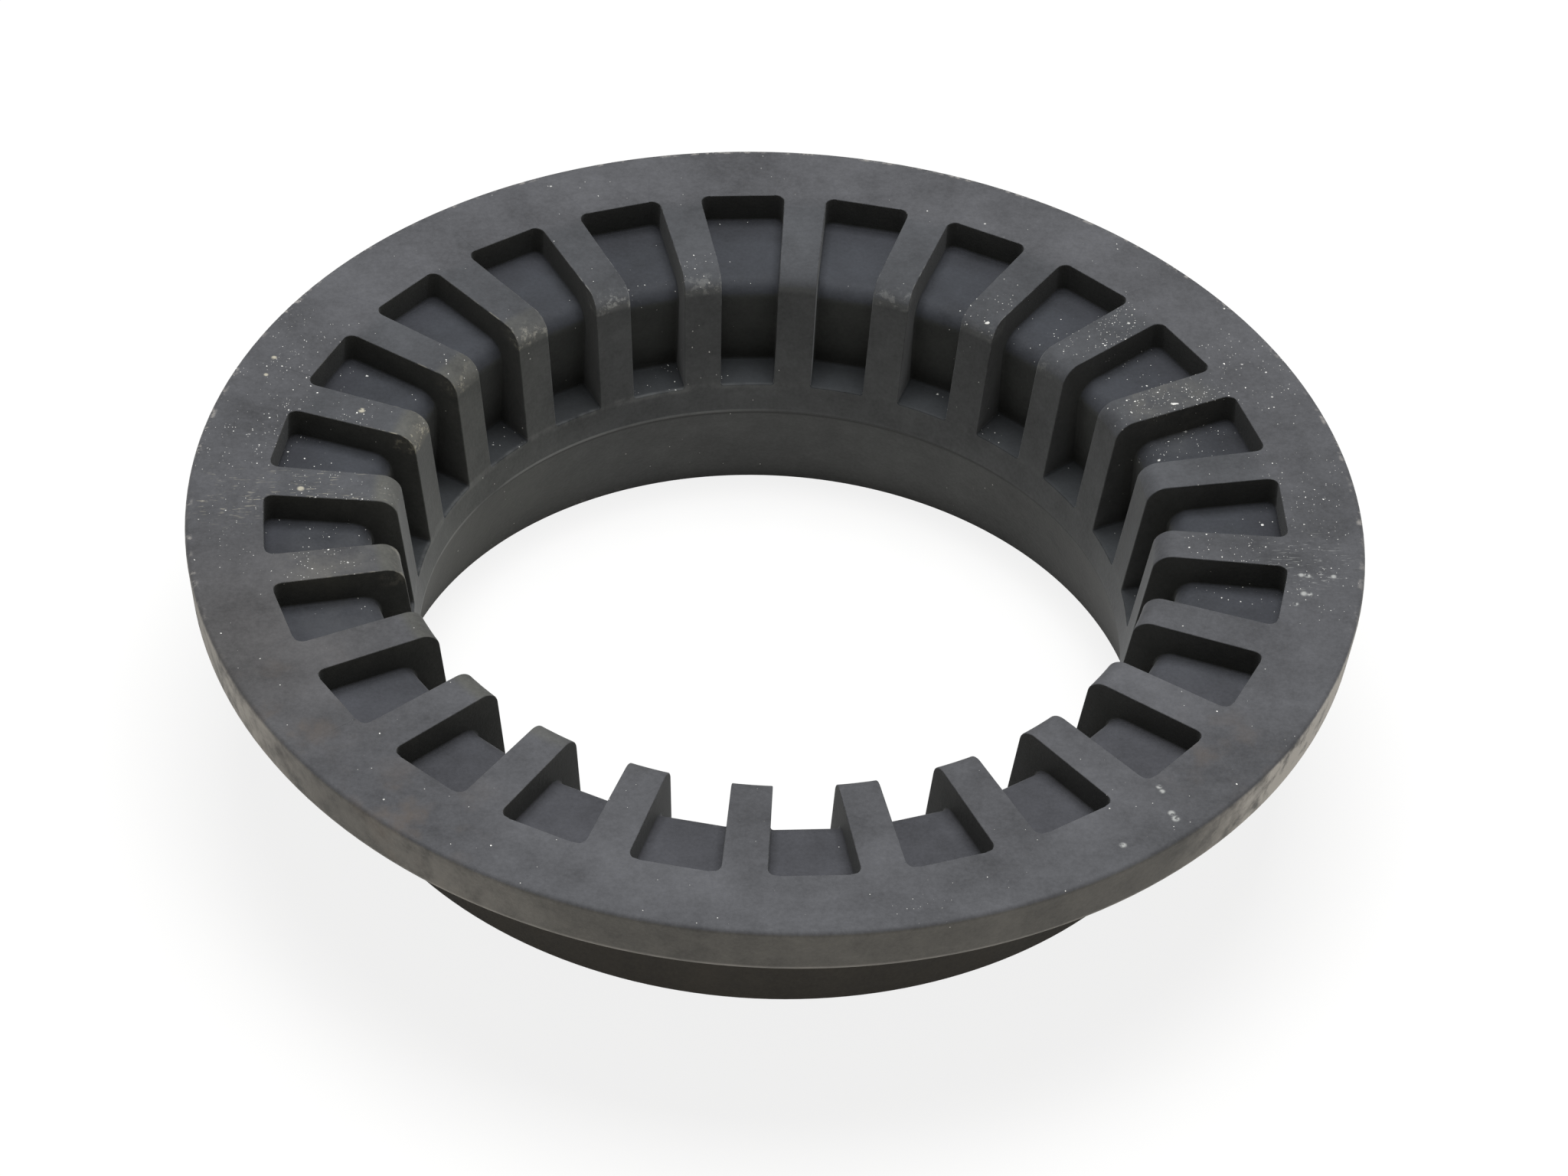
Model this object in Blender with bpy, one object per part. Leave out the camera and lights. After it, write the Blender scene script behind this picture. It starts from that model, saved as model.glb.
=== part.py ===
"""Coil spring insulator: a rubber ring moulded in one piece, with a flange over a collar and ribs round its mouth.

The ring stands on its foot with its axis on Z. The coil spring pushes up against the flange's underside,
round the collar, and the flange's top lies against the spring seat of the body.
"""
import math

import bmesh
import bpy
from mathutils import Vector

for old in list(bpy.data.objects):
    bpy.data.objects.remove(old, do_unlink=True)

# Flange
FLANGE_DIAMETER = 0.150
FLANGE_THICKNESS = 0.0073
RIM_TAPER = math.radians(6.5)
RIM_TOP_ROUND = 0.0005
RIM_FOOT_ROUND = 0.0014

# Collar that the coil spring sits round
HEIGHT = 0.0358
COLLAR_DIAMETER = 0.1158
COLLAR_DRAFT = math.radians(1.2)
COLLAR_ROOT_ROUND = 0.0020
LEAD_IN = 0.0073

# Bore: it narrows from the mouth to the waist, where the two halves of the mould met, and widens to the foot
WAIST_WALL = 0.0126
WAIST_HEIGHT = 0.0145
WAIST_STEP = 0.00035
MOUTH_TAPER = math.radians(8.3)
MOUTH_ROUND = 0.0026
FOOT_WIDTH = 0.0017

# Pockets and the ribs between them
POCKET_COUNT = 24
RIB_OUTER_WIDTH = 0.0056
RIB_NOSE_WIDTH = 0.0050
LAND_WIDTH = 0.0100
FLOOR_WEB = 0.0030
COLLAR_WALL = 0.0071
BAND_HEIGHT = 0.0042
POCKET_BEND_ROUND = 0.0025
POCKET_CORNER_ROUND = 0.0014
POCKET_FILLET = 0.0004

# Rubber
RUBBER_COLOUR = (0.058, 0.059, 0.062, 1.0)
RUBBER_ROUGHNESS = 0.72

# Facets, and how the pockets are cut
FACETS_PER_PITCH = 6
ROUND_STEPS = 2
NOSE_STEPS = 5
BEND_STEPS = 4
SMOOTH_BELOW = math.radians(30)
SQUARE_ABOVE = math.radians(50)
CUTTER_MARGIN = 0.003
WELD = 1e-6

flange_radius = FLANGE_DIAMETER / 2
collar_radius = COLLAR_DIAMETER / 2
waist_radius = collar_radius - WAIST_WALL
foot_radius = collar_radius - LEAD_IN
flange_underside = HEIGHT - FLANGE_THICKNESS
collar_root_radius = collar_radius + (flange_underside - LEAD_IN) * math.tan(COLLAR_DRAFT)
rim_foot_radius = flange_radius - FLANGE_THICKNESS * math.tan(RIM_TAPER)
mouth_radius = waist_radius + (HEIGHT - WAIST_HEIGHT) * math.tan(MOUTH_TAPER)
pocket_outer_radius = flange_radius - LAND_WIDTH
pocket_inner_radius = collar_root_radius - COLLAR_WALL
pocket_length = pocket_outer_radius - pocket_inner_radius
pocket_floor = flange_underside + FLOOR_WEB
pocket_ledge = WAIST_HEIGHT + BAND_HEIGHT
half_pitch = math.pi / POCKET_COUNT

# A short pocket has smaller rounds
bend_round = min(POCKET_BEND_ROUND, pocket_length / 2)
corner_round = min(POCKET_CORNER_ROUND, pocket_length / 4)
pocket_fillet = min(POCKET_FILLET, pocket_length / 8)


def rounded_corner(before, corner, after, radius, steps):
    """Replace a corner of an outline by an arc that is tangent to both of its sides."""
    to_before = (before - corner).normalized()
    to_after = (after - corner).normalized()
    half_angle = to_before.angle(to_after) / 2
    tangent_length = radius / math.tan(half_angle)
    centre = corner + (to_before + to_after).normalized() * (radius / math.sin(half_angle))
    start = corner + to_before * tangent_length - centre
    end = corner + to_after * tangent_length - centre
    sweep = start.angle(end)
    arc = []
    for step in range(steps + 1):
        share = step / steps
        blend = start * math.sin((1 - share) * sweep) + end * math.sin(share * sweep)
        arc.append(centre + blend / math.sin(sweep))
    return arc


def rounded_outline(corners):
    """Turn corners given as radius, height, rounding and steps into a closed outline."""
    places = [Vector((radius, height)) for radius, height, _, _ in corners]
    outline = []
    for index, (_, _, rounding, steps) in enumerate(corners):
        if rounding:
            before = places[index - 1]
            after = places[(index + 1) % len(places)]
            outline.extend(rounded_corner(before, places[index], after, rounding, steps))
        else:
            outline.append(places[index])
    return outline


def outline_face(mesh, outline):
    """Draw an outline as one face in the XZ plane."""
    points = [mesh.verts.new((place.x, 0.0, place.y)) for place in outline]
    return mesh.faces.new(points)


def ring_mesh():
    """Spin the section of the ring, without its pockets, once round the axis."""
    corners = [
        (foot_radius - FOOT_WIDTH, 0.0, 0.0, 0),
        (foot_radius, 0.0, 0.0, 0),
        (collar_radius, LEAD_IN, 0.0, 0),
        (collar_root_radius, flange_underside, COLLAR_ROOT_ROUND, ROUND_STEPS),
        (rim_foot_radius, flange_underside, RIM_FOOT_ROUND, ROUND_STEPS),
        (flange_radius, HEIGHT, RIM_TOP_ROUND, ROUND_STEPS),
        (mouth_radius, HEIGHT, MOUTH_ROUND, NOSE_STEPS),
        (waist_radius, WAIST_HEIGHT, 0.0, 0),
        (waist_radius + WAIST_STEP, WAIST_HEIGHT - WAIST_STEP, 0.0, 0),
    ]
    mesh = bmesh.new()
    section = outline_face(mesh, rounded_outline(corners))
    edges = list(section.edges)
    mesh.faces.remove(section)
    bmesh.ops.spin(
        mesh,
        geom=edges,
        axis=(0.0, 0.0, 1.0),
        angle=2 * math.pi,
        steps=POCKET_COUNT * FACETS_PER_PITCH,
    )
    bmesh.ops.remove_doubles(mesh, verts=mesh.verts, dist=WELD)
    bmesh.ops.recalc_face_normals(mesh, faces=mesh.faces)
    return mesh


def rib_side(side):
    """Give a point and a normal of the rib's side that bounds the pocket on +X."""
    along = Vector((math.cos(side * half_pitch), math.sin(side * half_pitch), 0.0))
    across = Vector((-along.y, along.x, 0.0)) * -side
    outer = along * pocket_outer_radius + across * (RIB_OUTER_WIDTH / 2)
    nose = along * mouth_radius + across * (RIB_NOSE_WIDTH / 2)
    direction = outer - nose
    normal = Vector((direction.y, -direction.x, 0.0)).normalized()
    return outer, normal if normal.dot(across) < 0 else -normal


def pocket_mesh():
    """Make the block that one pocket removes: its section pulled out to a bar and cut by the sides of two ribs."""
    top = HEIGHT + CUTTER_MARGIN
    inside = waist_radius - CUTTER_MARGIN
    corners = [
        (pocket_outer_radius, top, 0.0, 0),
        (pocket_outer_radius, pocket_floor, 0.0, 0),
        (pocket_inner_radius, pocket_floor, bend_round, BEND_STEPS),
        (pocket_inner_radius, pocket_ledge, 0.0, 0),
        (inside, pocket_ledge, 0.0, 0),
        (inside, top, 0.0, 0),
    ]
    half_width = pocket_outer_radius * math.tan(half_pitch)
    mesh = bmesh.new()
    section = outline_face(mesh, rounded_outline(corners))
    bmesh.ops.translate(mesh, verts=mesh.verts, vec=(0.0, -half_width, 0.0))
    pulled = bmesh.ops.extrude_face_region(mesh, geom=[section])["geom"]
    far_end = [item for item in pulled if isinstance(item, bmesh.types.BMVert)]
    bmesh.ops.translate(mesh, verts=far_end, vec=(0.0, 2 * half_width, 0.0))
    for side in (-1, 1):
        point, normal = rib_side(side)
        everything = list(mesh.verts) + list(mesh.edges) + list(mesh.faces)
        bmesh.ops.bisect_plane(mesh, geom=everything, plane_co=point, plane_no=normal, clear_outer=True)
        open_edges = [edge for edge in mesh.edges if edge.is_boundary]
        bmesh.ops.holes_fill(mesh, edges=open_edges, sides=0)
    bmesh.ops.recalc_face_normals(mesh, faces=mesh.faces)
    round_pocket(mesh, top, inside)
    return mesh


def round_pocket(mesh, top, inside):
    """Round the two upright corners at the land, then the block's other sharp edges that lie in the rubber."""

    def is_upright_corner(edge):
        low, high = sorted(vert.co.z for vert in edge.verts)
        return abs(low - pocket_floor) < WELD and abs(high - top) < WELD

    def is_buried(edge):
        middle = (edge.verts[0].co + edge.verts[1].co) / 2
        return middle.z < top - WELD and middle.xy.length > inside + WELD

    def is_sharp(edge):
        return edge.calc_face_angle() > SQUARE_ABOVE

    def round_edges(edges, radius):
        bmesh.ops.bevel(
            mesh,
            geom=edges,
            offset=radius,
            offset_type="OFFSET",
            segments=ROUND_STEPS,
            profile=0.5,
            affect="EDGES",
        )
        bmesh.ops.remove_doubles(mesh, verts=mesh.verts, dist=WELD)

    round_edges([edge for edge in mesh.edges if is_upright_corner(edge)], corner_round)
    round_edges([edge for edge in mesh.edges if is_buried(edge) and is_sharp(edge)], pocket_fillet)


def new_object(name, mesh):
    """Put a mesh in the scene as a named object."""
    data = bpy.data.meshes.new(name)
    mesh.to_mesh(data)
    mesh.free()
    data.shade_smooth()
    data.set_sharp_from_angle(angle=SMOOTH_BELOW)
    item = bpy.data.objects.new(name, data)
    bpy.context.scene.collection.objects.link(item)
    return item


def pocket_cutters():
    """Repeat the pocket's block round the axis, as one cutter."""
    mesh = pocket_mesh()
    everything = list(mesh.verts) + list(mesh.edges) + list(mesh.faces)
    copies = POCKET_COUNT - 1
    bmesh.ops.spin(
        mesh,
        geom=everything,
        axis=(0.0, 0.0, 1.0),
        angle=2 * half_pitch * copies,
        steps=copies,
        use_duplicate=True,
    )
    cutter = new_object("pocket_cutter", mesh)
    cutter.hide_render = True
    cutter.display_type = "WIRE"
    return cutter


def rubber():
    """Make the black moulded rubber."""
    material = bpy.data.materials.new("moulded_rubber")
    material.use_nodes = True
    shader = material.node_tree.nodes["Principled BSDF"]
    shader.inputs["Base Color"].default_value = RUBBER_COLOUR
    shader.inputs["Roughness"].default_value = RUBBER_ROUGHNESS
    shader.inputs["Metallic"].default_value = 0.0
    return material


insulator = new_object("spring_insulator", ring_mesh())
insulator.data.materials.append(rubber())
pockets = insulator.modifiers.new("pockets", "BOOLEAN")
pockets.operation = "DIFFERENCE"
pockets.solver = "EXACT"
pockets.object = pocket_cutters()
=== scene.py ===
"""A coil spring insulator of black moulded rubber, dusty and a little scuffed, on a white table."""
import math

import bmesh
import bpy
from mathutils import Euler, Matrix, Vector


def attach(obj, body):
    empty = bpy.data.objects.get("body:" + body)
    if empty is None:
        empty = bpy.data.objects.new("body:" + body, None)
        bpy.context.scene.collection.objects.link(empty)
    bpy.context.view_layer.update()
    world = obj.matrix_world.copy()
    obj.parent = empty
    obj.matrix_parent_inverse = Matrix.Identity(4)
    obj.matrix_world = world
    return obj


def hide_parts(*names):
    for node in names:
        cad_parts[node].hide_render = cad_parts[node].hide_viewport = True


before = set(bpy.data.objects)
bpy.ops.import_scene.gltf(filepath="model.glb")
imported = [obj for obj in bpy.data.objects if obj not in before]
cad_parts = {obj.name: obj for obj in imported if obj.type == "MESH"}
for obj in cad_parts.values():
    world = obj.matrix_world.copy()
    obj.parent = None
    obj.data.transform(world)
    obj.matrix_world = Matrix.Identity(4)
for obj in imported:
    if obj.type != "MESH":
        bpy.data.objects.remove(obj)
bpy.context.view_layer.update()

# The camera looks down on the ring from the front, a little from the left and slightly tilted,
# through a long lens on a full-frame sensor.
CAMERA_AIM = Vector((-0.00005, -0.01373, 0.0358))
CAMERA_DISTANCE = 0.8188
CAMERA_AZIMUTH = math.radians(-6.249)
CAMERA_ELEVATION = math.radians(41.986)
CAMERA_ROLL = math.radians(3.188)
CAMERA_LENS = 149.8
SENSOR_WIDTH = 36.0

camera_data = bpy.data.cameras.new("camera")
camera_data.lens = CAMERA_LENS
camera_data.sensor_width = SENSOR_WIDTH
camera = bpy.data.objects.new("camera", camera_data)
bpy.context.scene.collection.objects.link(camera)
camera_back = Vector((
    math.sin(CAMERA_AZIMUTH) * math.cos(CAMERA_ELEVATION),
    -math.cos(CAMERA_AZIMUTH) * math.cos(CAMERA_ELEVATION),
    math.sin(CAMERA_ELEVATION),
))
camera.location = CAMERA_AIM + camera_back * CAMERA_DISTANCE
upright = Euler((math.pi / 2 - CAMERA_ELEVATION, 0.0, CAMERA_AZIMUTH)).to_matrix()
camera.rotation_euler = (upright @ Euler((0.0, 0.0, CAMERA_ROLL)).to_matrix()).to_euler()
bpy.context.scene.camera = camera

# The table is a wide sheet of matt white card. It shows as white to the camera and keeps a soft shadow
# where the ring stands on it.
TABLE_SIZE = 6.0
TABLE_COLOUR = (0.90, 0.88, 0.83, 1.0)
TABLE_ROUGHNESS = 0.9
TABLE_WHITE_SHARE = 0.85

bpy.ops.object.select_all(action="DESELECT")
bpy.ops.mesh.primitive_plane_add(size=TABLE_SIZE, location=(0.0, 0.0, 0.0))
table = bpy.context.object
table.name = "table"
card = bpy.data.materials.new("white_card")
card.use_nodes = True
nodes = card.node_tree.nodes
links = card.node_tree.links
card_shader = nodes["Principled BSDF"]
card_shader.inputs["Base Color"].default_value = TABLE_COLOUR
card_shader.inputs["Roughness"].default_value = TABLE_ROUGHNESS
seen = nodes.new("ShaderNodeLightPath")
seen_or_mirrored = nodes.new("ShaderNodeMath")
seen_or_mirrored.operation = "MAXIMUM"
links.new(seen.outputs["Is Camera Ray"], seen_or_mirrored.inputs[0])
links.new(seen.outputs["Is Glossy Ray"], seen_or_mirrored.inputs[1])
white_share = nodes.new("ShaderNodeMath")
white_share.operation = "MULTIPLY"
white_share.inputs[1].default_value = TABLE_WHITE_SHARE
links.new(seen_or_mirrored.outputs[0], white_share.inputs[0])
plain_white = nodes.new("ShaderNodeEmission")
card_mix = nodes.new("ShaderNodeMixShader")
links.new(white_share.outputs[0], card_mix.inputs["Fac"])
links.new(card_shader.outputs[0], card_mix.inputs[1])
links.new(plain_white.outputs[0], card_mix.inputs[2])
links.new(card_mix.outputs[0], nodes["Material Output"].inputs["Surface"])
table.data.materials.append(card)

# The light is a large square soft box, hung overhead and a little behind the ring. The pale room round it
# fills the shadows, and it shows as white where the camera sees past the table.
SOFT_BOX_SIZE = 0.9
SOFT_BOX_HEIGHT = 1.5
SOFT_BOX_BEHIND = 0.2
SOFT_BOX_RIGHT = 0.045
SOFT_BOX_POWER = 30.0
SOFT_BOX_COLOUR = (0.93, 0.96, 1.0)
ROOM_COLOUR = (1.0, 0.95, 0.85, 1.0)
ROOM_LIGHT = 0.2

soft_box_data = bpy.data.lights.new("soft_box", "AREA")
soft_box_data.shape = "SQUARE"
soft_box_data.size = SOFT_BOX_SIZE
soft_box_data.energy = SOFT_BOX_POWER
soft_box_data.color = SOFT_BOX_COLOUR
soft_box = bpy.data.objects.new("soft_box", soft_box_data)
soft_box.location = (SOFT_BOX_RIGHT, SOFT_BOX_BEHIND, SOFT_BOX_HEIGHT)
soft_box.rotation_euler = Vector(soft_box.location).to_track_quat("Z", "Y").to_euler()
bpy.context.scene.collection.objects.link(soft_box)

room = bpy.data.worlds.new("pale_room")
bpy.context.scene.world = room
room.use_nodes = True
room_nodes = room.node_tree.nodes
room_links = room.node_tree.links
room_light = room_nodes["Background"]
room_light.inputs["Color"].default_value = ROOM_COLOUR
room_light.inputs["Strength"].default_value = ROOM_LIGHT
room_white = room_nodes.new("ShaderNodeBackground")
room_white.inputs["Color"].default_value = (1.0, 1.0, 1.0, 1.0)
room_white.inputs["Strength"].default_value = 1.0
room_path = room_nodes.new("ShaderNodeLightPath")
room_choice = room_nodes.new("ShaderNodeMixShader")
room_links.new(room_path.outputs["Is Camera Ray"], room_choice.inputs["Fac"])
room_links.new(room_light.outputs[0], room_choice.inputs[1])
room_links.new(room_white.outputs[0], room_choice.inputs[2])
room_links.new(room_choice.outputs[0], room_nodes["World Output"].inputs["Surface"])

bpy.context.scene.view_settings.view_transform = "Standard"

# The ring is one piece of black rubber, pressed in a two-part mould. It is turned up here from its foot:
# lead-in, collar, underside of the flange, rim, land and mouth, back down to the waist and the foot.
FLANGE_DIAMETER = 0.150
FLANGE_THICKNESS = 0.0073
RIM_TAPER = math.radians(6.5)
HEIGHT = 0.0358
COLLAR_DIAMETER = 0.1158
COLLAR_DRAFT = math.radians(1.2)
LEAD_IN = 0.0073
WAIST_WALL = 0.0126
WAIST_HEIGHT = 0.0145
WAIST_STEP = 0.00035
MOUTH_TAPER = math.radians(8.3)
MOUTH_ROUND = 0.0026
FOOT_WIDTH = 0.0017
POCKET_COUNT = 24
SIDES = POCKET_COUNT * 8
WELD = 1e-6
ON_CORNER = 1e-5

flange_radius = FLANGE_DIAMETER / 2
collar_radius = COLLAR_DIAMETER / 2
foot_radius = collar_radius - LEAD_IN
waist_radius = collar_radius - WAIST_WALL
flange_underside = HEIGHT - FLANGE_THICKNESS
collar_root_radius = collar_radius + (flange_underside - LEAD_IN) * math.tan(COLLAR_DRAFT)
rim_foot_radius = flange_radius - FLANGE_THICKNESS * math.tan(RIM_TAPER)
mouth_radius = waist_radius + (HEIGHT - WAIST_HEIGHT) * math.tan(MOUTH_TAPER)
turned_steps = [
    (foot_radius, 0.0),
    (collar_radius, LEAD_IN),
    (collar_root_radius, flange_underside),
    (rim_foot_radius, flange_underside),
    (flange_radius, HEIGHT),
    (mouth_radius, HEIGHT),
    (waist_radius, WAIST_HEIGHT),
    (waist_radius + WAIST_STEP, WAIST_HEIGHT - WAIST_STEP),
    (foot_radius - FOOT_WIDTH, 0.0),
]


def choose(item, edges=None, faces=None):
    """In edit mode, select only the edges or the faces that pass a test of their own."""
    mesh = bmesh.from_edit_mesh(item.data)
    mesh.normal_update()
    for part in (mesh.verts, mesh.edges, mesh.faces):
        for element in part:
            element.select = False
    for part, test in ((mesh.edges, edges), (mesh.faces, faces)):
        if test:
            for element in part:
                if test(element):
                    element.select_set(True)
    bmesh.update_edit_mesh(item.data)


def middle_of(edge):
    return (edge.verts[0].co + edge.verts[1].co) / 2


bpy.ops.object.select_all(action="DESELECT")
bpy.ops.mesh.primitive_circle_add(vertices=SIDES, radius=foot_radius, location=(0.0, 0.0, 0.0))
ring = bpy.context.object
ring.name = "rubber_ring"
bpy.ops.object.mode_set(mode="EDIT")
bpy.ops.mesh.select_mode(type="EDGE")
bpy.ops.mesh.select_all(action="SELECT")
for (radius, height), (next_radius, next_height) in zip(turned_steps, turned_steps[1:] + turned_steps[:1]):
    bpy.ops.mesh.extrude_region_move(TRANSFORM_OT_translate={"value": (0.0, 0.0, next_height - height)})
    growth = next_radius / radius
    bpy.ops.transform.resize(value=(growth, growth, 1.0))
bpy.ops.mesh.select_all(action="SELECT")
bpy.ops.mesh.remove_doubles(threshold=WELD)
bpy.ops.mesh.normals_make_consistent(inside=False)

# Each corner of the turned form is rounded as the mould's is: the edges of the foot and the collar a little,
# the collar's root, the rim's lower corner and the mouth more.
FOOT_EDGE_ROUND = 0.0003
COLLAR_EDGE_ROUND = 0.0003
COLLAR_ROOT_ROUND = 0.0020
RIM_FOOT_ROUND = 0.0014
RIM_TOP_ROUND = 0.00065

CORNER_ROUNDS = [
    (foot_radius, 0.0, FOOT_EDGE_ROUND, 2),
    (collar_radius, LEAD_IN, COLLAR_EDGE_ROUND, 2),
    (collar_root_radius, flange_underside, COLLAR_ROOT_ROUND, 5),
    (rim_foot_radius, flange_underside, RIM_FOOT_ROUND, 6),
    (flange_radius, HEIGHT, RIM_TOP_ROUND, 4),
    (mouth_radius, HEIGHT, MOUTH_ROUND, 10),
]


def on_loop(edge, radius, height):
    """Tell whether an edge lies on the turned corner of that radius and height."""
    return all(
        abs(vert.co.xy.length - radius) < ON_CORNER and abs(vert.co.z - height) < ON_CORNER
        for vert in edge.verts
    )


for radius, height, rounding, steps in CORNER_ROUNDS:
    choose(ring, edges=lambda edge: on_loop(edge, radius, height))
    corner_edge = next(edge for edge in bmesh.from_edit_mesh(ring.data).edges if edge.select)
    bend = corner_edge.calc_face_angle()
    bpy.ops.mesh.bevel(
        offset=rounding * math.tan(bend / 2),
        segments=steps,
        profile=0.5,
        affect="EDGES",
        clamp_overlap=False,
    )
bpy.ops.object.mode_set(mode="OBJECT")

# The pockets leave the ribs standing between them. One pocket's plug is shaped, from the flange's top
# down to the ledge, and its copies stand round the ring and are taken out of it.
RIB_OUTER_WIDTH = 0.0056
RIB_NOSE_WIDTH = 0.0050
LAND_WIDTH = 0.0100
FLOOR_WEB = 0.0030
COLLAR_WALL = 0.0071
BAND_HEIGHT = 0.0042
POCKET_BEND_ROUND = 0.0025
POCKET_CORNER_ROUND = 0.0014
POCKET_FILLET = 0.0004
PLUG_MARGIN = 0.003
SQUARE_ABOVE = math.radians(50)
UPRIGHT_ABOVE = 0.001

half_pitch = math.pi / POCKET_COUNT
pocket_outer_radius = flange_radius - LAND_WIDTH
pocket_inner_radius = collar_root_radius - COLLAR_WALL
pocket_floor = flange_underside + FLOOR_WEB
pocket_ledge = WAIST_HEIGHT + BAND_HEIGHT
plug_top = HEIGHT + PLUG_MARGIN
plug_inside = waist_radius - PLUG_MARGIN
plug_half_width = pocket_outer_radius * math.tan(half_pitch)

bpy.ops.object.select_all(action="DESELECT")
bpy.ops.mesh.primitive_cube_add(
    size=1.0,
    location=((pocket_outer_radius + plug_inside) / 2, 0.0, (plug_top + pocket_floor) / 2),
    scale=(pocket_outer_radius - plug_inside, 2 * plug_half_width, plug_top - pocket_floor),
)
plug = bpy.context.object
plug.name = "pocket_plug"
bpy.ops.object.transform_apply(location=True, rotation=True, scale=True)
bpy.ops.object.mode_set(mode="EDIT")
bpy.ops.mesh.select_all(action="SELECT")
bpy.ops.mesh.bisect(plane_co=(pocket_inner_radius, 0.0, 0.0), plane_no=(1.0, 0.0, 0.0))
choose(
    plug,
    faces=lambda face: face.normal.z < -0.9 and face.calc_center_median().x < pocket_inner_radius,
)
bpy.ops.mesh.extrude_region_move(TRANSFORM_OT_translate={"value": (0.0, 0.0, pocket_ledge - pocket_floor)})
for side in (-1, 1):
    along = Vector((math.cos(side * half_pitch), math.sin(side * half_pitch), 0.0))
    across = Vector((side * along.y, -side * along.x, 0.0))
    rib_outer = along * pocket_outer_radius + across * RIB_OUTER_WIDTH / 2
    rib_nose = along * mouth_radius + across * RIB_NOSE_WIDTH / 2
    rib_run = rib_outer - rib_nose
    outwards = Vector((-side * rib_run.y, side * rib_run.x, 0.0)).normalized()
    bpy.ops.mesh.select_all(action="SELECT")
    bpy.ops.mesh.bisect(plane_co=rib_outer, plane_no=outwards, use_fill=True, clear_outer=True)
bpy.ops.mesh.select_all(action="SELECT")
bpy.ops.mesh.remove_doubles(threshold=WELD)
bpy.ops.mesh.normals_make_consistent(inside=False)
choose(
    plug,
    edges=lambda edge: abs(middle_of(edge).x - pocket_inner_radius) < WELD
    and abs(middle_of(edge).z - pocket_floor) < WELD,
)
bpy.ops.mesh.bevel(offset=POCKET_BEND_ROUND, segments=8, profile=0.5, affect="EDGES", clamp_overlap=False)
choose(
    plug,
    edges=lambda edge: abs(edge.verts[0].co.z - edge.verts[1].co.z) > UPRIGHT_ABOVE
    and middle_of(edge).x > pocket_outer_radius - UPRIGHT_ABOVE,
)
bpy.ops.mesh.bevel(offset=POCKET_CORNER_ROUND, segments=5, profile=0.5, affect="EDGES", clamp_overlap=False)
choose(
    plug,
    edges=lambda edge: edge.calc_face_angle() > SQUARE_ABOVE
    and middle_of(edge).z < plug_top - WELD
    and middle_of(edge).x > plug_inside + WELD,
)
bpy.ops.mesh.bevel(offset=POCKET_FILLET, segments=4, profile=0.5, affect="EDGES", clamp_overlap=False)
bpy.ops.mesh.select_all(action="SELECT")
bpy.ops.mesh.remove_doubles(threshold=WELD)
bpy.ops.mesh.normals_make_consistent(inside=False)
bpy.ops.object.mode_set(mode="OBJECT")

plugs = [plug]
for number in range(1, POCKET_COUNT):
    copy = plug.copy()
    copy.data = plug.data.copy()
    bpy.context.scene.collection.objects.link(copy)
    copy.rotation_euler.z = 2 * half_pitch * number
    plugs.append(copy)
bpy.ops.object.select_all(action="DESELECT")
for copy in plugs:
    copy.select_set(True)
bpy.context.view_layer.objects.active = plug
bpy.ops.object.join()

bpy.ops.object.select_all(action="DESELECT")
ring.select_set(True)
bpy.context.view_layer.objects.active = ring
pockets = ring.modifiers.new("pockets", "BOOLEAN")
pockets.operation = "DIFFERENCE"
pockets.solver = "EXACT"
pockets.object = plug
bpy.ops.object.modifier_apply(modifier="pockets")
bpy.data.objects.remove(plug)

# The edges of the ribs and the pockets are crisp, with a small round from the mould. Two values are kept
# with the mesh for the rubber's finish: where an edge is worn, and what lies inside a pocket.
RIB_EDGE_ROUND = 0.0004
RIB_EDGE_BEND = math.radians(35)
SMOOTH_BELOW = math.radians(40)
SLACK = 1e-4

mouth_centre_height = HEIGHT - MOUTH_ROUND
mouth_centre_radius = (
    waist_radius
    + (mouth_centre_height - WAIST_HEIGHT) * math.tan(MOUTH_TAPER)
    + MOUTH_ROUND / math.cos(MOUTH_TAPER)
)
up_the_mouth = Vector((math.sin(MOUTH_TAPER), math.cos(MOUTH_TAPER)))


def is_rib_edge(edge):
    middle = middle_of(edge)
    if edge.calc_face_angle() < RIB_EDGE_BEND or not edge.is_convex:
        return False
    return middle.z > pocket_ledge - SLACK and middle.xy.length < pocket_outer_radius + SLACK


def depth_in_pocket(place):
    """Tell how far a point of a pocket lies below the turned form that the pocket was cut from."""
    radius = place.xy.length
    below_floor = place.z < flange_underside + 10 * SLACK
    outside_collar = radius > pocket_inner_radius + POCKET_BEND_ROUND + 10 * SLACK
    if below_floor and outside_collar:
        return 0.0
    if place.z < pocket_ledge - SLACK or radius > pocket_outer_radius + 5 * SLACK:
        return 0.0
    from_centre = Vector((radius - mouth_centre_radius, place.z - mouth_centre_height))
    if from_centre.x < 0 and from_centre.dot(up_the_mouth) > 0:
        return MOUTH_ROUND - from_centre.length
    mouth_line = waist_radius + (place.z - WAIST_HEIGHT) * math.tan(MOUTH_TAPER)
    return min(HEIGHT - place.z, (radius - mouth_line) * math.cos(MOUTH_TAPER))


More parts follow.
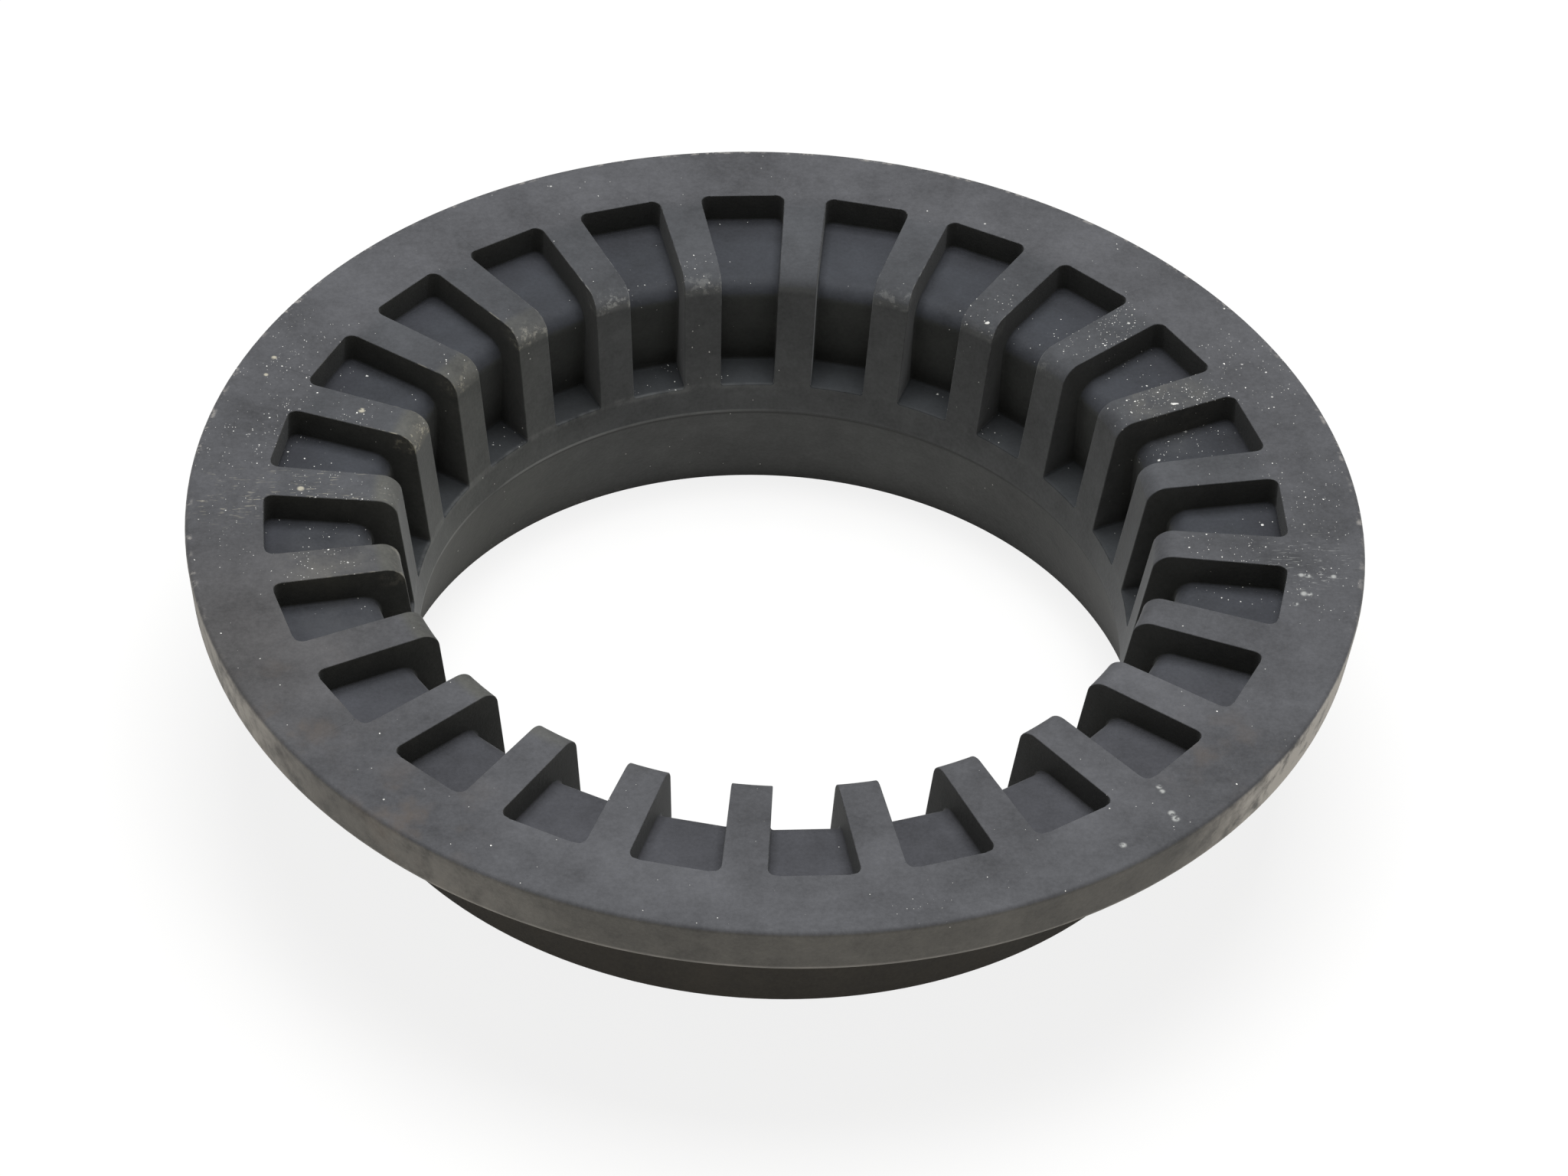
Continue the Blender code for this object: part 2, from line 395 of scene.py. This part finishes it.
bpy.ops.object.mode_set(mode="EDIT")
bpy.ops.mesh.select_all(action="SELECT")
bpy.ops.mesh.remove_doubles(threshold=WELD)
choose(ring, edges=is_rib_edge)
bpy.ops.mesh.bevel(offset=RIB_EDGE_ROUND, segments=3, profile=0.5, affect="EDGES", clamp_overlap=True)
mesh = bmesh.from_edit_mesh(ring.data)
worn_edge = mesh.verts.layers.float.new("worn_edge")
in_pocket = mesh.verts.layers.float.new("in_pocket")
for vert in mesh.verts:
    vert[worn_edge] = float(all(face.select for face in vert.link_faces))
    vert[in_pocket] = min(max(depth_in_pocket(vert.co) / RIB_EDGE_ROUND, 0.0), 1.0)
bmesh.update_edit_mesh(ring.data)
bpy.ops.mesh.select_all(action="DESELECT")
bpy.ops.object.mode_set(mode="OBJECT")
bpy.ops.object.shade_smooth_by_angle(angle=SMOOTH_BELOW)
even_shading = ring.modifiers.new("even_shading", "WEIGHTED_NORMAL")
even_shading.keep_sharp = True
bpy.ops.object.modifier_apply(modifier="even_shading")

# The finish is matt black rubber, moulded against a smooth steel tool. A grey bloom has come up on the skin
# that faces up, and the bore is a little darker. The pocket walls and ledges and the collar under the flange
# are darkened as painted shade, and some faces are lightened as painted light or sheen, as said where each is
# set.
# A place is given by its position seen from above, its reach and its strength.
RUBBER_ROUGHNESS = 0.75
RUBBER_SPECULAR = 0.3
RUBBER_SHEEN = 0.1
BLOOM_COLOUR = (0.0745, 0.0745, 0.0790, 1.0)
RIB_TOP_COLOUR = (0.0555, 0.0570, 0.0610, 1.0)
FRONT_RIB_COLOUR = (0.0720, 0.0720, 0.0765, 1.0)
NOSE_COLOUR = (0.0780, 0.0770, 0.0690, 1.0)
SIDE_COLOUR = (0.0590, 0.0605, 0.0610, 1.0)
# Painted light: the sides on the left, which face the light from the right, are lighter.
LEFT_SIDE_PAINTED_LIGHT_COLOUR = (0.0700, 0.0715, 0.0655, 1.0)
# Painted shade: the walls deep in the pockets are darker.
WALL_PAINTED_SHADE_COLOUR = (0.0320, 0.0335, 0.0310, 1.0)
FLOOR_COLOUR = (0.0330, 0.0350, 0.0405, 1.0)
# Painted shade: the floors near the outer wall at the back are darker, where that wall shades them.
FLOOR_PAINTED_SHADE_COLOUR = (0.0265, 0.0275, 0.0325, 1.0)
# Painted light: the floors of the front pockets are lighter, where light from behind reaches them.
FRONT_FLOOR_PAINTED_LIGHT_COLOUR = (0.0495, 0.0495, 0.0550, 1.0)
# Painted shade: the ledges at the bottom of the pockets are darker.
LEDGE_PAINTED_SHADE_COLOUR = (0.0190, 0.0208, 0.0222, 1.0)
BORE_COLOUR = (0.0515, 0.0525, 0.0515, 1.0)
LEFT_BORE_COLOUR = (0.0510, 0.0520, 0.0455, 1.0)
WARM_COLOUR = (0.0735, 0.0700, 0.0690, 1.0)
# Painted shade: the collar under the flange is darker, and warm brown.
COLLAR_PAINTED_SHADE_COLOUR = (0.0450, 0.0400, 0.0330, 1.0)
# The rim is beige with dust, and lighter as a painted sheen.
RIM_DUST_AND_SHEEN_COLOUR = (0.0860, 0.0815, 0.0740, 1.0)
SCUFFED_PLACES = [
    (-0.046, 0.019, 0.005, 2.4),
    (-0.040, 0.030, 0.006, 0.5),
    (-0.044, 0.024, 0.012, 0.7),
    (-0.030, 0.039, 0.012, 1.0),
    (-0.018, 0.046, 0.010, 1.2),
    (-0.005, 0.048, 0.010, 0.6),
    (0.020, 0.045, 0.010, 0.5),
    (0.036, 0.036, 0.010, 0.6),
    (-0.052, -0.006, 0.011, 0.7),
]
WARMED_PLACES = [(-0.069, -0.022, 0.030, 0.9)]
PATCH_SIZE = 0.013
MOTTLE_SIZE = 0.0034
GRAIN_SIZE = 0.0005
STREAK_SIZE = 0.0016
CLUMP_SIZE = 0.0052
TONED_PLACES = [
    (0.070, -0.002, 0.016, -0.16),
    (0.000, 0.070, 0.016, -0.11),
    (0.052, 0.046, 0.012, -0.08),
    (-0.072, -0.001, 0.013, -0.24),
    (-0.066, -0.024, 0.014, -0.16),
    (-0.064, 0.027, 0.014, -0.11),
    (0.053, 0.022, 0.008, 0.20),
    (-0.050, -0.050, 0.016, -0.20),
    (0.050, -0.050, 0.018, -0.15),
    (-0.012, -0.068, 0.022, 0.09),
    (0.058, 0.008, 0.009, -0.18),
    (0.046, 0.035, 0.009, -0.14),
    (-0.022, 0.054, 0.009, -0.18),
]

rubber = bpy.data.materials.new("moulded_rubber")
rubber.use_nodes = True
rubber_nodes = rubber.node_tree.nodes
rubber_links = rubber.node_tree.links
rubber_shader = rubber_nodes["Principled BSDF"]
rubber_shader.inputs["Specular IOR Level"].default_value = RUBBER_SPECULAR
rubber_shader.inputs["Sheen Weight"].default_value = RUBBER_SHEEN


def add_node(kind, inputs, **settings):
    """Add a node to the rubber; each input is a value or another node's output."""
    node = rubber_nodes.new("ShaderNode" + kind)
    for name, value in settings.items():
        setattr(node, name, value)
    for socket, value in inputs.items():
        if isinstance(value, bpy.types.NodeSocket):
            rubber_links.new(value, node.inputs[socket])
        else:
            node.inputs[socket].default_value = value
    return node


def maths(operation, *terms):
    return add_node("Math", dict(enumerate(terms)), operation=operation).outputs[0]


def product(first, *others):
    for other in others:
        first = maths("MULTIPLY", first, other)
    return first


def total(first, *others):
    for other in others:
        first = maths("ADD", first, other)
    return first


def fade(value, start, end):
    """Rise smoothly from 0 at the start to 1 at the end; the end may lie below the start."""
    inputs = {"Value": value, "From Min": start, "From Max": end}
    return add_node("MapRange", inputs, interpolation_type="SMOOTHSTEP").outputs["Result"]


def line(value, middle, half_width):
    """Give 1 on a thin line where a value passes its middle, and 0 away from it."""
    return fade(maths("ABSOLUTE", maths("SUBTRACT", value, middle)), half_width, 0.3 * half_width)


def blend(share, below, above):
    return add_node("Mix", {0: share, 6: below, 7: above}, data_type="RGBA").outputs[2]


def noise(size, detail=3.0, roughness=0.55, place=None):
    """Even noise from 0 to 1, whose features have the given size."""
    inputs = {"Vector": place or here, "Scale": 1 / size, "Detail": detail, "Roughness": roughness}
    return add_node("TexNoise", inputs).outputs["Fac"]


def distance_from_above(x, y):
    inputs = {0: from_above, 1: (x, y, 0.0)}
    return add_node("VectorMath", inputs, operation="DISTANCE").outputs["Value"]


def near(places):
    """Add up soft round areas, each given by its place seen from above, its reach and its strength."""
    return total(*[
        product(fade(distance_from_above(x, y), reach, 0.0), strength) for x, y, reach, strength in places
    ])


here = add_node("TexCoord", {}).outputs["Object"]
across, inwards, height = add_node("SeparateXYZ", {0: here}).outputs
from_above = add_node("VectorMath", {0: here, 1: (1.0, 1.0, 0.0)}, operation="MULTIPLY").outputs[0]
radius_here = add_node("VectorMath", {0: from_above}, operation="LENGTH").outputs["Value"]
facing = add_node("SeparateXYZ", {0: add_node("NewGeometry", {}).outputs["Normal"]}).outputs["Z"]
facing_up = fade(facing, 0.16, 0.45)
ledge_share = product(facing_up, line(height, pocket_ledge, 0.0012), fade(radius_here, 0.0520, 0.0515))
inside_pocket = add_node("Attribute", {}, attribute_name="in_pocket").outputs["Fac"]
pocket_share = maths("MAXIMUM", inside_pocket, ledge_share)
edge_share = add_node("Attribute", {}, attribute_name="worn_edge").outputs["Fac"]
skin_share = maths("SUBTRACT", 1.0, pocket_share)
# Handling left its marks mostly along the radii that lie across the photograph.
wiped = add_node("VectorMath", {0: here, 1: (0.16, 1.0, 1.0)}, operation="MULTIPLY").outputs[0]

patches = noise(PATCH_SIZE, detail=4.0)
mottle = noise(MOTTLE_SIZE, detail=5.0, roughness=0.62)
grain = noise(GRAIN_SIZE, detail=2.0, roughness=0.7)
streaks = noise(STREAK_SIZE, detail=4.0, roughness=0.6, place=wiped)
clumps = noise(CLUMP_SIZE, detail=3.0)

inner_share = fade(radius_here, 0.0505, 0.0498)
bore_share = product(fade(height, WAIST_HEIGHT + 0.0001, WAIST_HEIGHT - 0.0004), inner_share)
collar_share = product(fade(height, flange_underside + 0.0004, flange_underside),
                       fade(radius_here, 0.0496, 0.0502))
rim_share = product(fade(height, HEIGHT - 0.0002, HEIGHT - 0.0006), fade(radius_here, 0.0725, 0.0735),
                    fade(height, flange_underside, flange_underside + 0.0004))
rib_share = fade(radius_here, 0.0655, 0.0620)
nose_share = product(fade(radius_here, 0.0520, 0.0504), fade(height, HEIGHT - 0.0042, HEIGHT - 0.0028),
                     skin_share)
nose_bend = product(fade(height, HEIGHT - 0.0031, HEIGHT - 0.0023), fade(height, HEIGHT, HEIGHT - 0.0011))
# Wear and a painted highlight on the bends of the back noses.
polished_nose_and_highlight = product(nose_share, nose_bend, fade(inwards, 0.012, 0.034), fade(across, 0.045, 0.028))
scuffed = near(SCUFFED_PLACES)
floor_share = product(facing_up, fade(height, pocket_ledge + 0.004, pocket_ledge + 0.008))

rib_colour = blend(fade(inwards, 0.025, -0.025), RIB_TOP_COLOUR, FRONT_RIB_COLOUR)
top_colour = blend(rib_share, BLOOM_COLOUR, rib_colour)
top_colour = blend(near(WARMED_PLACES), top_colour, WARM_COLOUR)
top_colour = blend(product(nose_share, fade(across, -0.016, -0.040)), top_colour, NOSE_COLOUR)
left_share = fade(across, -0.015, -0.042)
# Painted light makes the sides on the left lighter.
colour = blend(facing_up, blend(left_share, SIDE_COLOUR, LEFT_SIDE_PAINTED_LIGHT_COLOUR), top_colour)
colour = blend(bore_share, colour, blend(left_share, BORE_COLOUR, LEFT_BORE_COLOUR))
# Painted shade on the collar under the flange.
colour = blend(collar_share, colour, COLLAR_PAINTED_SHADE_COLOUR)
# Dusty beige on the rim, lightened as painted sheen.
colour = blend(rim_share, colour, RIM_DUST_AND_SHEEN_COLOUR)
# Painted light and shade on the floors: lighter in the front pockets, darker by the outer wall at the back.
floor_colour = blend(fade(inwards, 0.000, -0.050), FLOOR_COLOUR, FRONT_FLOOR_PAINTED_LIGHT_COLOUR)
painted_floor_shade = product(fade(radius_here, 0.0590, 0.0640), fade(inwards, -0.030, 0.000))
floor_colour = blend(painted_floor_shade, floor_colour, FLOOR_PAINTED_SHADE_COLOUR)
# Painted shade darkens the walls and ledges inside the pockets.
pocket_colour = blend(ledge_share, blend(floor_share, WALL_PAINTED_SHADE_COLOUR, floor_colour), LEDGE_PAINTED_SHADE_COLOUR)
colour = blend(pocket_share, colour, pocket_colour)

# Soft patches, mottling, wipe marks and grain vary the tone round 1. The bends of the noses at the back are
# paler, partly rubbed and partly a painted highlight of the light above them.
PATCH_TONE = 1.05
MOTTLE_TONE = 0.80
STREAK_TONE = 0.20
GRAIN_TONE = 0.60
NOSE_WEAR_AND_HIGHLIGHT_TONE = 0.48
BASE_TONE = -0.325

tone = total(product(patches, PATCH_TONE), product(mottle, MOTTLE_TONE), product(streaks, STREAK_TONE),
             product(grain, GRAIN_TONE), product(polished_nose_and_highlight, NOSE_WEAR_AND_HIGHLIGHT_TONE), BASE_TONE, near(TONED_PLACES))
colour = add_node("VectorMath", {0: colour, "Scale": tone}, operation="SCALE").outputs[0]

# A thin beige film of dry dust lies in patches on the side that lay in the dirt, with a few brownish stains.
FILM_COLOUR = (0.155, 0.145, 0.115, 1.0)
STAIN_COLOUR = (0.105, 0.082, 0.064, 1.0)
FILMED_PLACES = [(-0.056, -0.003, 0.011, 0.9), (-0.057, -0.012, 0.010, 0.5), (0.053, 0.021, 0.008, 1.8)]
STAINED_PLACES = [(-0.062, -0.034, 0.015, 0.5), (-0.048, -0.054, 0.014, 0.6), (0.052, -0.046, 0.012, 0.4)]

film = product(near(FILMED_PLACES), fade(mottle, 0.25, 0.65), fade(patches, 0.25, 0.55),
               total(product(skin_share, 0.30), 0.12))
colour = blend(film, colour, FILM_COLOUR)
stain = product(near(STAINED_PLACES), fade(clumps, 0.46, 0.72), skin_share)
colour = blend(stain, colour, STAIN_COLOUR)

# The rim is paler at its two sides, a painted sheen where it is seen at a glancing angle, broken up by
# mottling.
# Its lower corner is paler, partly worn and partly a painted highlight of the table below, and its top corner
# is worn.
PALE_WEAR_AND_SHEEN_COLOUR = (0.42, 0.39, 0.355, 1.0)
RIM_SHEEN_PLACES = [
    (0.064, -0.039, 0.032, 2.3),
    (-0.070, -0.026, 0.030, 1.0),
    (-0.046, -0.058, 0.024, 0.25),
]

# Painted sheen on the rim's two sides, broken by mottling.
rim_sheen_and_mottle = total(product(near(RIM_SHEEN_PLACES), fade(mottle, 0.26, 0.62)), product(mottle, 0.10))
colour = blend(product(rim_share, rim_sheen_and_mottle, 0.75), colour, PALE_WEAR_AND_SHEEN_COLOUR)
# Painted highlight, with some wear, along the rim's lower corner.
lower_corner_highlight = product(line(height, flange_underside + 0.0006, 0.0007), fade(radius_here, 0.0720, 0.0728))
colour = blend(product(lower_corner_highlight, total(product(mottle, 0.4), 0.02)), colour, PALE_WEAR_AND_SHEEN_COLOUR)
top_corner = product(line(radius_here, flange_radius - 0.0004, 0.0007),
                     fade(height, HEIGHT - 0.0012, HEIGHT - 0.0004))
top_corner_wear = product(top_corner, fade(noise(0.0011, detail=4.0), 0.50, 0.66), fade(clumps, 0.38, 0.60),
                          fade(inwards, -0.030, 0.000), 0.55)
colour = blend(top_corner_wear, colour, PALE_WEAR_AND_SHEEN_COLOUR)

# Scuffs: the noses are rubbed and nicked, edges near them are worn, and dry marks run across the left ribs.
# The largest smears and crumbs of dried dirt lie in their own places, and the foot's edge is chipped at the
# back left.
# The pale scuff colour also paints the highlights on the waist's flash and on the ledges' front edges.
SCUFF_AND_HIGHLIGHT_COLOUR = (0.34, 0.34, 0.325, 1.0)
BEIGE_SCUFF_COLOUR = (0.40, 0.37, 0.29, 1.0)
MARKED_PLACES = [
    (-0.069, 0.006, 0.008, 1.0),
    (-0.056, 0.007, 0.011, 0.9),
    (0.067, -0.011, 0.008, 1.0),
    (-0.051, -0.015, 0.006, 0.5),
]
SMEARED_PLACES = [
    (0.0431, -0.0510, 0.0005, 1.5),
    (0.0434, -0.0518, 0.0005, 1.5),
    (0.0441, -0.0556, 0.0006, 1.6),
    (0.0445, -0.0566, 0.0007, 1.8),
    (0.0376, -0.0610, 0.0006, 1.6),
    (0.0656, -0.0130, 0.0005, 1.5),
    (0.0664, -0.0131, 0.0006, 1.6),
    (0.0697, -0.0134, 0.0005, 1.5),
    (0.0655, -0.0165, 0.0006, 1.6),
    (0.0662, -0.0166, 0.0005, 1.5),
    (0.0642, -0.0184, 0.0005, 1.5),
    (-0.0521, 0.0218, 0.0006, 2.0),
    (-0.0602, 0.0067, 0.0006, 2.0),
    (-0.0632, 0.0326, 0.0005, 1.8),
    (-0.0643, 0.0292, 0.0004, 1.8),
]
CHIPPED_PLACES = [(-0.022, 0.043, 0.008, 1.0)]

nicks = fade(noise(0.0014, detail=8.0, roughness=0.72), 0.50, 0.62)
scuff = product(nose_share, nose_bend, scuffed, total(product(nicks, 0.70), product(mottle, 0.14)))
edge_wear = product(edge_share, fade(height, HEIGHT - 0.006, HEIGHT - 0.002), total(scuffed, 0.12),
                    fade(noise(0.0012, detail=4.0), 0.42, 0.66), 0.55)
marks = product(near(MARKED_PLACES), fade(noise(0.00024, detail=2.0, place=wiped), 0.60, 0.68),
                fade(clumps, 0.36, 0.58), facing_up, skin_share, 0.8)
scuff_colour = blend(fade(across, -0.018, -0.040), SCUFF_AND_HIGHLIGHT_COLOUR, BEIGE_SCUFF_COLOUR)
smears = product(near(SMEARED_PLACES), fade(noise(0.0007, detail=4.0), 0.36, 0.52), facing_up, skin_share)
foot_chips = product(fade(height, 0.0012, 0.0003), near(CHIPPED_PLACES), nicks, 0.6)
for worn_share in (scuff, edge_wear, marks, smears, foot_chips):
    colour = blend(worn_share, colour, scuff_colour)

# Where the two halves of the mould met, the bore steps back just below the waist. A dark line painted round
# the waist is the shadow under that step, and thin flash here and there is painted paler as its highlight.
# The front edges of the ledges are painted paler, partly worn and partly a highlight.
CREASE_PAINTED_SHADOW_COLOUR = (0.020, 0.020, 0.019, 1.0)

# Painted shadow under the step at the waist.
crease_shadow = product(line(height, WAIST_HEIGHT - 0.0003, 0.00055), inner_share, 0.85)
colour = blend(crease_shadow, colour, CREASE_PAINTED_SHADOW_COLOUR)
left_half = fade(across, 0.010, -0.015)
# Painted highlight on the flash at the waist; the same mask raises it a little in the bump.
flash_and_highlight = product(line(height, WAIST_HEIGHT + 0.0002, 0.00028), inner_share, fade(patches, 0.30, 0.55),
                total(product(left_half, 0.31), 0.02))
ledge_front_radius = waist_radius + BAND_HEIGHT * math.tan(MOUTH_TAPER)
# Painted highlight, with some wear, along the front edges of the ledges.
ledge_front_wear_and_highlight = product(line(height, pocket_ledge, 0.0008), line(radius_here, ledge_front_radius, 0.0006),
                      fade(mottle, 0.35, 0.60), total(product(left_half, 0.12), 0.02))
colour = blend(maths("MAXIMUM", flash_and_highlight, ledge_front_wear_and_highlight), colour, SCUFF_AND_HIGHLIGHT_COLOUR)

# Dust and crumbs of grit, from fine specks to flakes, have settled in clusters. Each kind has the size of its
# cells and the largest radius of its specks.
DUST_COLOUR = (0.84, 0.82, 0.77, 1.0)
QUIET_DUST = 0.012
FINEST_SPECKS = (0.00042, 0.00010)
FINE_SPECKS = (0.0008, 0.00015)
CRUMBS = (0.0017, 0.00024)
FLAKES = (0.0028, 0.00026)
RAGGED_BY = 0.00030
DUSTY_PLACES = [
    (0.053, 0.021, 0.010, 2.60),
    (0.046, 0.036, 0.010, 1.60),
    (0.0645, 0.0075, 0.004, 1.50),
    (-0.0615, 0.0225, 0.004, 1.50),
    (0.063, 0.026, 0.013, 0.70),
    (0.069, 0.002, 0.013, 0.60),
    (0.066, -0.014, 0.010, 0.50),
    (0.057, -0.008, 0.008, 0.90),
    (-0.056, 0.008, 0.010, 1.60),
    (-0.053, 0.022, 0.009, 0.70),
    (-0.061, 0.034, 0.013, 0.85),
    (-0.067, 0.017, 0.012, 0.65),
    (-0.058, -0.006, 0.010, 0.80),
    (-0.069, -0.002, 0.012, 0.30),
    (-0.036, 0.034, 0.012, 0.40),
    (-0.008, 0.048, 0.012, 0.60),
    (0.030, 0.040, 0.010, 0.60),
    (0.044, -0.052, 0.010, 0.08),
    (0.013, -0.072, 0.010, 0.20),
]


def specks(sizes, chance, place=None):
    """Scatter specks, at most one for each cell, where their chance is above the cell's own number."""
    cell, radius = sizes
    spread = add_node("TexVoronoi", {"Vector": place or here, "Scale": 1 / cell})
    numbers = add_node("SeparateColor", {0: spread.outputs["Color"]})
    reach = maths("MULTIPLY_ADD", numbers.outputs["Green"], 0.5 * radius / cell, 0.5 * radius / cell)
    disc = fade(maths("DIVIDE", spread.outputs["Distance"], reach), 1.0, 0.65)
    shown = maths("LESS_THAN", numbers.outputs["Red"], chance)
    return product(disc, shown, maths("MULTIPLY_ADD", numbers.outputs["Blue"], 0.50, 0.50))


settled = total(product(facing_up, 0.93), 0.07)
crowded = total(product(near(DUSTY_PLACES), fade(clumps, 0.30, 0.62)), QUIET_DUST)
dust_chance = product(crowded, settled, total(product(skin_share, 0.5), 0.5))
jitter = add_node("TexNoise", {"Vector": here, "Scale": 2500.0}).outputs["Color"]
jitter = add_node("VectorMath", {0: jitter, "Scale": RAGGED_BY}, operation="SCALE").outputs[0]
ragged = add_node("VectorMath", {0: here, 1: jitter}, operation="ADD").outputs[0]
slant = {"Vector": ragged, "Rotation": (0.3, 0.2, 0.5), "Scale": (0.4, 1.0, 1.0)}
slanted = add_node("Mapping", slant).outputs[0]
finest = specks(FINEST_SPECKS, dust_chance)
fine = specks(FINE_SPECKS, dust_chance, ragged)
crumbs = specks(CRUMBS, product(dust_chance, 0.6), ragged)
flakes = specks(FLAKES, product(dust_chance, 0.7), slanted)
dust = maths("MINIMUM", total(finest, fine, crumbs, flakes), 1.0)
colour = blend(dust, colour, DUST_COLOUR)
rubber_links.new(colour, rubber_shader.inputs["Base Color"])

# Mottling, dust and scuffs make the skin a little rougher, and they stand out from it or lie in it by
# hundredths of a millimetre.
roughness = total(product(mottle, 0.16), product(dust, 0.1), product(scuff, 0.1), RUBBER_ROUGHNESS - 0.08)
rubber_links.new(roughness, rubber_shader.inputs["Roughness"])

relief = total(product(grain, 0.00003), product(mottle, 0.00005), product(dust, 0.00008),
               product(scuff, -0.00004), product(flash_and_highlight, 0.0002))
bump = add_node("Bump", {"Height": relief, "Distance": 1.0, "Strength": 1.0})
rubber_links.new(bump.outputs[0], rubber_shader.inputs["Normal"])
ring.data.materials.append(rubber)

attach(ring, "root")
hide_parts("spring_insulator")
